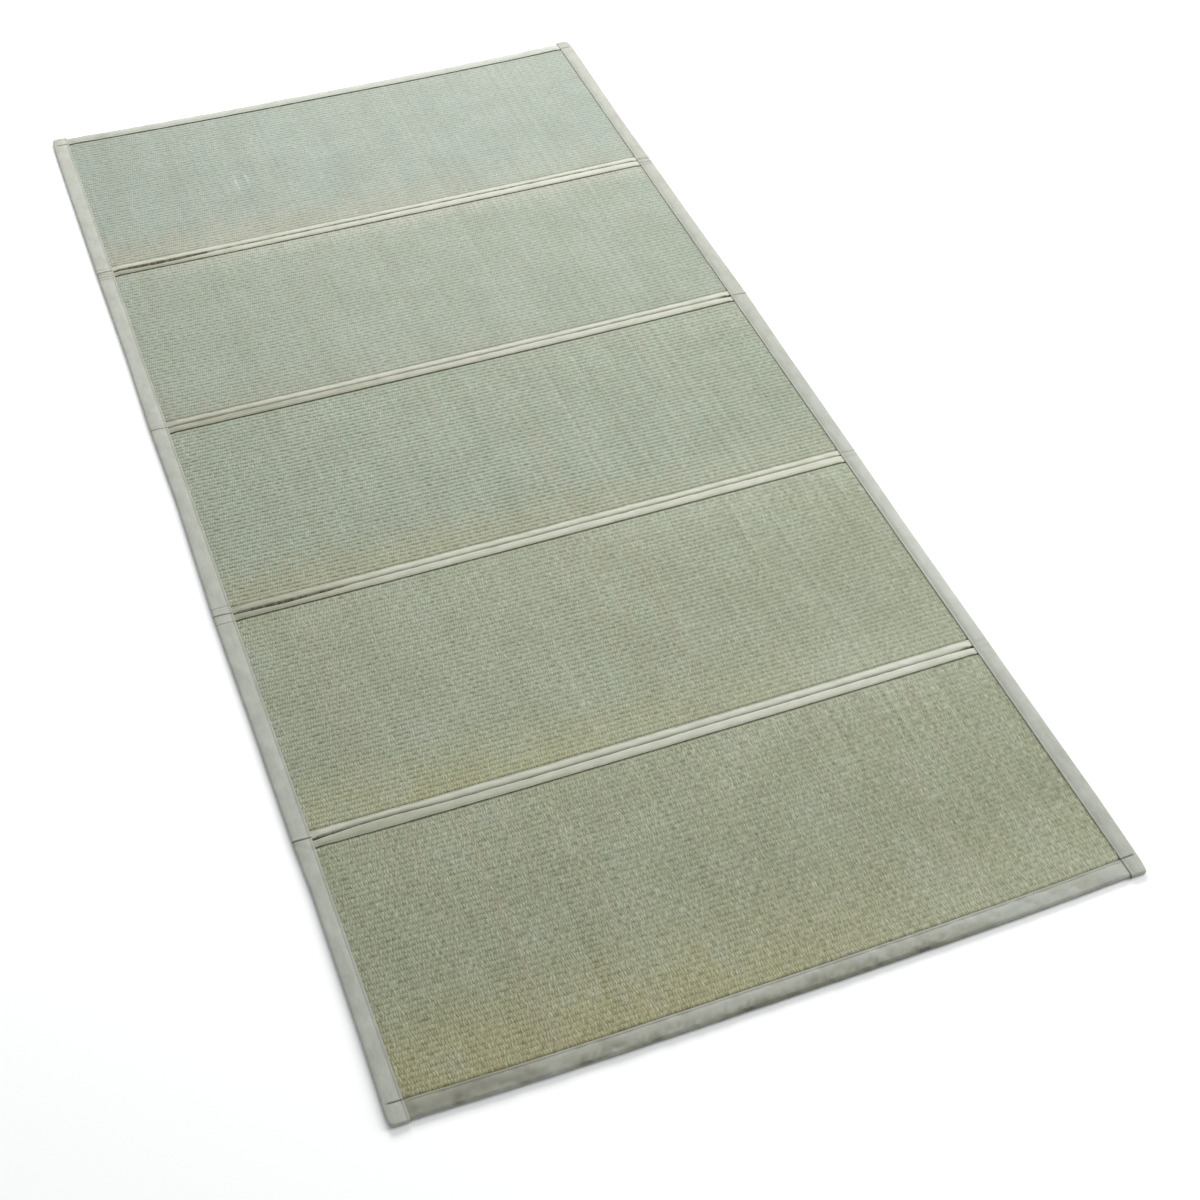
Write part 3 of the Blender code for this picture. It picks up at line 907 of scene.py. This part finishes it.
# Colours that come and go over the rush, each mixed in where its own pattern is strong
PALE_RIM = rgba(0.345, 0.375, 0.30)
# painted sheen: the pale beige band along a panel's rear edge
BEIGE_SHEEN = rgba(0.36, 0.36, 0.30)
GREEN_PATCH = rgba(0.225, 0.262, 0.222)
STRAW_STREAK = rgba(0.268, 0.252, 0.180)
BROWN_STEM = rgba(0.23, 0.19, 0.115)
OLD_STEM = rgba(0.215, 0.195, 0.125)
PALE_STEM = rgba(0.32, 0.34, 0.26)
SCUFFED_STEM = rgba(0.55, 0.58, 0.52)

# Painted highlight, and the warm tint and the dark of painted shade on the cotton, and the sewing
# thread
HIGHLIGHT_COTTON = rgba(0.52, 0.54, 0.50)
SHADE_TINT_COTTON = rgba(0.97, 0.96, 0.86)  # the cotton's colour is multiplied by it
PAINTED_SHADE_COTTON = rgba(0.045, 0.043, 0.026)
THREAD_TONE = rgba(0.33, 0.33, 0.28)

# Light and dark parts of the cotton tapes: the bindings, and at each fold, rear to front
EDGE_TONE = (rgba(0.334, 0.345, 0.305), rgba(0.257, 0.264, 0.224))
REAR_TONE = (rgba(0.385, 0.398, 0.352), rgba(0.335, 0.345, 0.300))
FOLD_TONES = (
    (rgba(0.460, 0.470, 0.405), rgba(0.375, 0.380, 0.310)),
    (rgba(0.440, 0.450, 0.385), rgba(0.355, 0.358, 0.292)),
    (rgba(0.465, 0.475, 0.400), rgba(0.375, 0.380, 0.305)),
    (rgba(0.490, 0.505, 0.435), rgba(0.400, 0.408, 0.335)),
)


def scuffed(tree, colour, number, place, strokes):
    """A panel's colour with its pale rubbed marks, soft at their rims and broken by its strokes."""
    for scuff in SCUFFS:
        if scuff.panel == number:
            offset = tree.vector("SUBTRACT", place, scuff.place)[0]
            reach = tree.vector("LENGTH", tree.vector("DIVIDE", offset, scuff.size)[0])["Value"]
            rubbed = tree.times(tree.between(reach, 1.3, 0.2), tree.between(strokes, 0.3, 0.6))
            colour = tree.mix(tree.times(rubbed, scuff.strength), colour, SCUFFED_STEM)
    return colour


def rush_finish(number, tone, weave_group):
    """Dried rush: stems of slightly different greens and straws, with painted shade in the valleys
    where the threads bind, between the stems, beside the tapes' hems and towards the left.

    A panel with strong strokes along its stems also has more straw streaks and more ragged valleys,
    and one with dark gaps has more pale stems.
    """
    finish, tree, shader = principled(f"woven_rush_{number}", 0.5)
    weave = tree.add("ShaderNodeAttribute", attribute_name="weave").outputs["Vector"]
    panel = tree.add("ShaderNodeAttribute", attribute_name="panel").outputs["Vector"]
    place = tree.add("ShaderNodeTexCoord").outputs["Object"]
    across = tree.add("ShaderNodeSeparateXYZ", (place,)).outputs["X"]
    parts = tree.add("ShaderNodeSeparateXYZ", (panel,)).outputs
    sway = tree.grain(place, (110.0, 170.0, 1.0), 2.0, 0.6)
    valley_shade = tree.between(tree.grain(place, (75.0, 120.0, 1.0), 2.0, 0.6), 0.35, 0.65, 0.5, 1.35)
    woven = tree.add(
        "ShaderNodeGroup",
        {
            "Weave": weave,
            "Sway": tree.math("MULTIPLY_ADD", sway, 1.6, -0.8),
            "Brick": tone.brick,
            # painted shade in the valleys, uneven and darker towards the left
            "ValleyShade": tree.times(valley_shade, tree.between(across, -0.5, 0.5, 1.2, 0.75)),
            "Ragged": 5.0 * tone.stroke**2,
        },
        node_tree=weave_group,
    ).outputs

    streaks = tree.grain(place, (160.0, 5.0, 1.0), 3.0, 0.6)
    long_streaks = tree.grain(place, (30.0, 1.3, 1.0), 2.0, 0.5)
    strokes = tree.grain(place, (560.0, 85.0, 1.0), 2.0, 0.65)
    old_stems = tree.grain(place, (210.0, 1.1, 1.0), 1.0, 0.5)
    patches = tree.noise(place, 11.0, 3.0, 0.55)

    edge = tree.math("ADD", parts["X"], tree.math("MULTIPLY_ADD", streaks, 0.3, -0.15))
    from_middle = tree.math("ABSOLUTE", tree.math("SUBTRACT", edge, 0.5))
    # the straw tone near the front edge, partly the rush's own colour and partly painted sheen
    straw = tree.times(tree.between(edge, tone.reach, 0.0), tree.between(across, 0.45, -0.3, 0.3, 1.0))
    rim = tree.times(tree.between(from_middle, 0.25, 0.5), tree.between(across, -0.1, 0.4))
    # painted sheen: a pale beige band along the rear edge, weaker at the far left
    sheen_band = tree.times(tree.between(edge, 0.86, 1.0), tree.between(across, -0.5, -0.2, 0.3, 1.0))
    colour = tone.cool
    for share, tint in (
        (straw, tone.straw),
        (tree.times(rim, tone.right), PALE_RIM),
        (tree.times(sheen_band, tone.beige), BEIGE_SHEEN),
        (tree.between(patches, 0.5, 0.75, 0.0, 0.3), GREEN_PATCH),
        (tree.between(long_streaks, 0.5, 0.75, 0.0, 1.6 * tone.stroke), STRAW_STREAK),
        (tree.between(woven["Stem"], 0.88, 1.0, 0.0, 0.22), BROWN_STEM),
        (tree.between(old_stems, 0.64, 0.78, 0.0, 0.4), OLD_STEM),
        (tree.between(woven["Cell"], 0.65, 1.0, 0.0, 0.12 + 0.6 * tone.gap), PALE_STEM),
    ):
        colour = tree.mix(share, colour, tint)

    light = tree.math("MULTIPLY_ADD", woven["Stem"], 0.14, 0.96)
    for factor in (
        tree.between(streaks, 0.25, 0.75, 0.88, 1.09),
        tree.between(strokes, 0.3, 0.7, 1.0 - tone.stroke, 1.0 + tone.stroke),
        tree.between(patches, 0.3, 0.7, 0.95, 1.05),
        # painted shade: a little darker towards the left
        tree.between(across, -0.5, 0.0, 0.955, 1.0),
        tree.between(from_middle, 0.05, 0.5, 1.0 - tone.middle, 1.0),
        # painted shade beside the tapes' hems
        tree.math("MULTIPLY_ADD", parts["Y"], -0.5, 1.0),
        # painted shade between the stems and in the valleys
        tree.math("MULTIPLY_ADD", woven["Gap"], -tone.gap, 1.0),
        tree.math("MULTIPLY_ADD", woven["Valley"], -tone.valley, 1.0),
    ):
        light = tree.times(light, factor)
    # the painted shade, like the darker stems, turns a little warmer
    blue = tree.math("POWER", light, 1.2)  # what is darker is a little warmer too
    grey = tree.add("ShaderNodeCombineColor", (light, light, blue)).outputs[0]
    colour = scuffed(tree, tree.mix(1.0, colour, grey, "MULTIPLY"), number, place, strokes)
    tree.feed(shader.inputs["Base Color"], colour)
    tree.feed(shader.inputs["Roughness"], tree.between(streaks, 0.3, 0.7, 0.5, 0.68))
    shader.inputs["Specular IOR Level"].default_value = 0.28

    fibres = tree.grain(place, (2600.0, 60.0, 1.0), 2.0, 0.5)
    height = tree.math("MULTIPLY_ADD", fibres, 0.15, woven["Height"])
    bump = tree.add("ShaderNodeBump", {"Strength": 0.7, "Distance": 0.4 * MM, "Height": height})
    tree.feed(shader.inputs["Normal"], bump.outputs[0])
    return finish


def cloth_finish(name, light, dark, cloth_group, roughness):
    """Cotton tape: plain weave, slightly mottled, with painted shade in its creases, warm-tinted and
    then dark, and a painted highlight where it is pale.
    """
    finish, tree, shader = principled(name, roughness, sheen=0.25)
    cloth = tree.add("ShaderNodeAttribute", attribute_name="cloth").outputs["Vector"]
    inputs = {"Cloth": cloth, "Pitch": THREAD_PITCH}
    woven = tree.add("ShaderNodeGroup", inputs, node_tree=cloth_group).outputs
    colour = tree.mix(tree.between(woven["Mottle"], 0.3, 0.7), dark, light)
    # painted highlight where the cloth's third value is below 0
    colour = tree.mix(woven["PaintedHighlight"], colour, HIGHLIGHT_COTTON)
    # painted shade where the cloth's third value is above 0: first a warm tint, then dark
    shade_tint = tree.between(woven["Crease"], 0.0, 0.5)
    colour = tree.mix(shade_tint, colour, SHADE_TINT_COTTON, "MULTIPLY")
    colour = tree.mix(tree.times(woven["Crease"], 0.93), colour, PAINTED_SHADE_COTTON)
    tree.feed(shader.inputs["Base Color"], colour)
    inputs = {"Strength": 0.35, "Distance": 0.25 * MM, "Height": woven["Height"]}
    tree.feed(shader.inputs["Normal"], tree.add("ShaderNodeBump", inputs).outputs[0])
    return finish


def thread_finish(name, colour):
    finish, tree, shader = principled(name, 0.6)
    place = tree.add("ShaderNodeTexCoord").outputs["Object"]
    twist = tree.noise(place, 2400.0, 1.0)
    dim = tuple(0.7 * part for part in colour[:3]) + (1.0,)
    tree.feed(shader.inputs["Base Color"], tree.mix(twist, dim, colour))
    return finish


# ---------------------------------------------------------------- the mat


def build_mat():
    weave_group = rush_weave_group()
    cloth_group = cloth_weave_group()
    edge_cloth = cloth_finish("edge_tape_cotton", *EDGE_TONE, cloth_group, 0.8)
    rear_cloth = cloth_finish("rear_edge_tape_cotton", *REAR_TONE, cloth_group, 0.8)
    fold_cloths = [
        cloth_finish(f"fold_tape_cotton_{number}", *tone, cloth_group, 0.85)
        for number, tone in enumerate(FOLD_TONES, start=1)
    ]
    thread = thread_finish("sewing_thread", THREAD_TONE)

    for number, tone in enumerate(PANEL_TONES, start=1):
        rush_panel(number, tone.depth, tone.brick, rush_finish(number, tone, weave_group))

    # Every tape has a seed of its own, here and below
    for number, fold_cloth in enumerate(fold_cloths, start=1):
        nodes = {word: f"fold_{number}_tape_{word}" for word in ("rear", "front")}
        for word, other, make in (("rear", "front", FOLD_REAR), ("front", "rear", FOLD_FRONT)):
            behind = word == "rear"
            x, seam = cross_tape(
                f"folded_tape_{number}_{word}", nodes[word], behind, fold_cloth,
                100 + 10 * number + behind, make, nodes[other],
            )
            stitch_row(f"fold_stitches_{number}_{word}", x, seam, False, thread)

    for word, behind, cloth, make in (
        ("rear", False, rear_cloth, END_REAR),
        ("front", True, edge_cloth, END_FRONT),
    ):
        x, seam = cross_tape(
            f"end_edge_tape_{word}", f"end_binding_{word}", behind, cloth,
            200 + behind, make,
        )
        stitch_row(f"end_stitches_{word}", x, seam, False, thread)

    for side, word in ((-1, "left"), (1, "right")):
        y, seam = side_binding(side, edge_cloth)
        stitch_row(f"long_edge_stitches_{word}", y, seam, True, thread)


# ---------------------------------------------------------------- studio


def add_floor():
    square = ((-1, -1), (1, -1), (1, 1), (-1, 1))
    corners = [(x * FLOOR_HALF, y * FLOOR_HALF, FLOOR_DROP) for x, y in square]
    mesh = bpy.data.meshes.new("studio_floor")
    mesh.from_pydata(corners, [], [(0, 1, 2, 3)])
    finish, _, shader = principled("studio_floor_paint", 0.9)
    shader.inputs["Base Color"].default_value = rgba(0.86, 0.86, 0.86)
    mesh.materials.append(finish)
    floor = bpy.data.objects.new("studio_floor", mesh)
    bpy.context.scene.collection.objects.link(floor)


def add_softbox(name, place, target, size, power):
    light = bpy.data.lights.new(name, "AREA")
    light.shape = "RECTANGLE"
    light.size, light.size_y = size
    light.energy = power
    light.color = (1.0, 0.99, 0.97)
    lamp = bpy.data.objects.new(name, light)
    lamp.location = place
    lamp.rotation_euler = (Vector(place) - Vector(target)).to_track_quat("Z", "Y").to_euler()
    bpy.context.scene.collection.objects.link(lamp)


def add_studio():
    world = bpy.data.worlds.new("studio_world")
    world.use_nodes = True
    background = world.node_tree.nodes["Background"]
    background.inputs["Color"].default_value = rgba(0.95, 0.98, 1.0)
    background.inputs["Strength"].default_value = 0.57
    bpy.context.scene.world = world
    add_softbox(
        "rear_softbox", place=(0.9, 3.4, 2.6), target=(0.1, 0.2, 0.0), size=(3.0, 2.0), power=235.0
    )
    add_softbox(
        "side_softbox", place=(3.2, -0.8, 2.2), target=(0.0, 0.0, 0.0), size=(2.0, 2.0), power=92.0
    )
    bpy.context.scene.view_settings.view_transform = "Standard"


def add_camera():
    """The camera looks at its target from an azimuth and elevation, then rolls about its axis."""
    azimuth = math.radians(CAMERA_AZIMUTH)
    elevation = math.radians(CAMERA_ELEVATION)
    roll = math.radians(CAMERA_ROLL)
    level_share = math.cos(elevation)
    back = Vector(
        (math.sin(azimuth) * level_share, -math.cos(azimuth) * level_share, math.sin(elevation))
    )
    level = Vector((0, 0, 1)).cross(back).normalized()
    upright = back.cross(level)
    right = math.cos(roll) * level + math.sin(roll) * upright
    up = -math.sin(roll) * level + math.cos(roll) * upright
    lens = bpy.data.cameras.new("studio_camera")
    lens.lens = CAMERA_LENS
    lens.sensor_width = CAMERA_SENSOR
    camera = bpy.data.objects.new("studio_camera", lens)
    turn = Matrix((right, up, back)).transposed().to_4x4()
    camera.matrix_world = Matrix.Translation(CAMERA_TARGET + back * CAMERA_DISTANCE) @ turn
    bpy.context.scene.collection.objects.link(camera)
    bpy.context.scene.camera = camera


add_camera()
build_mat()
add_floor()
add_studio()
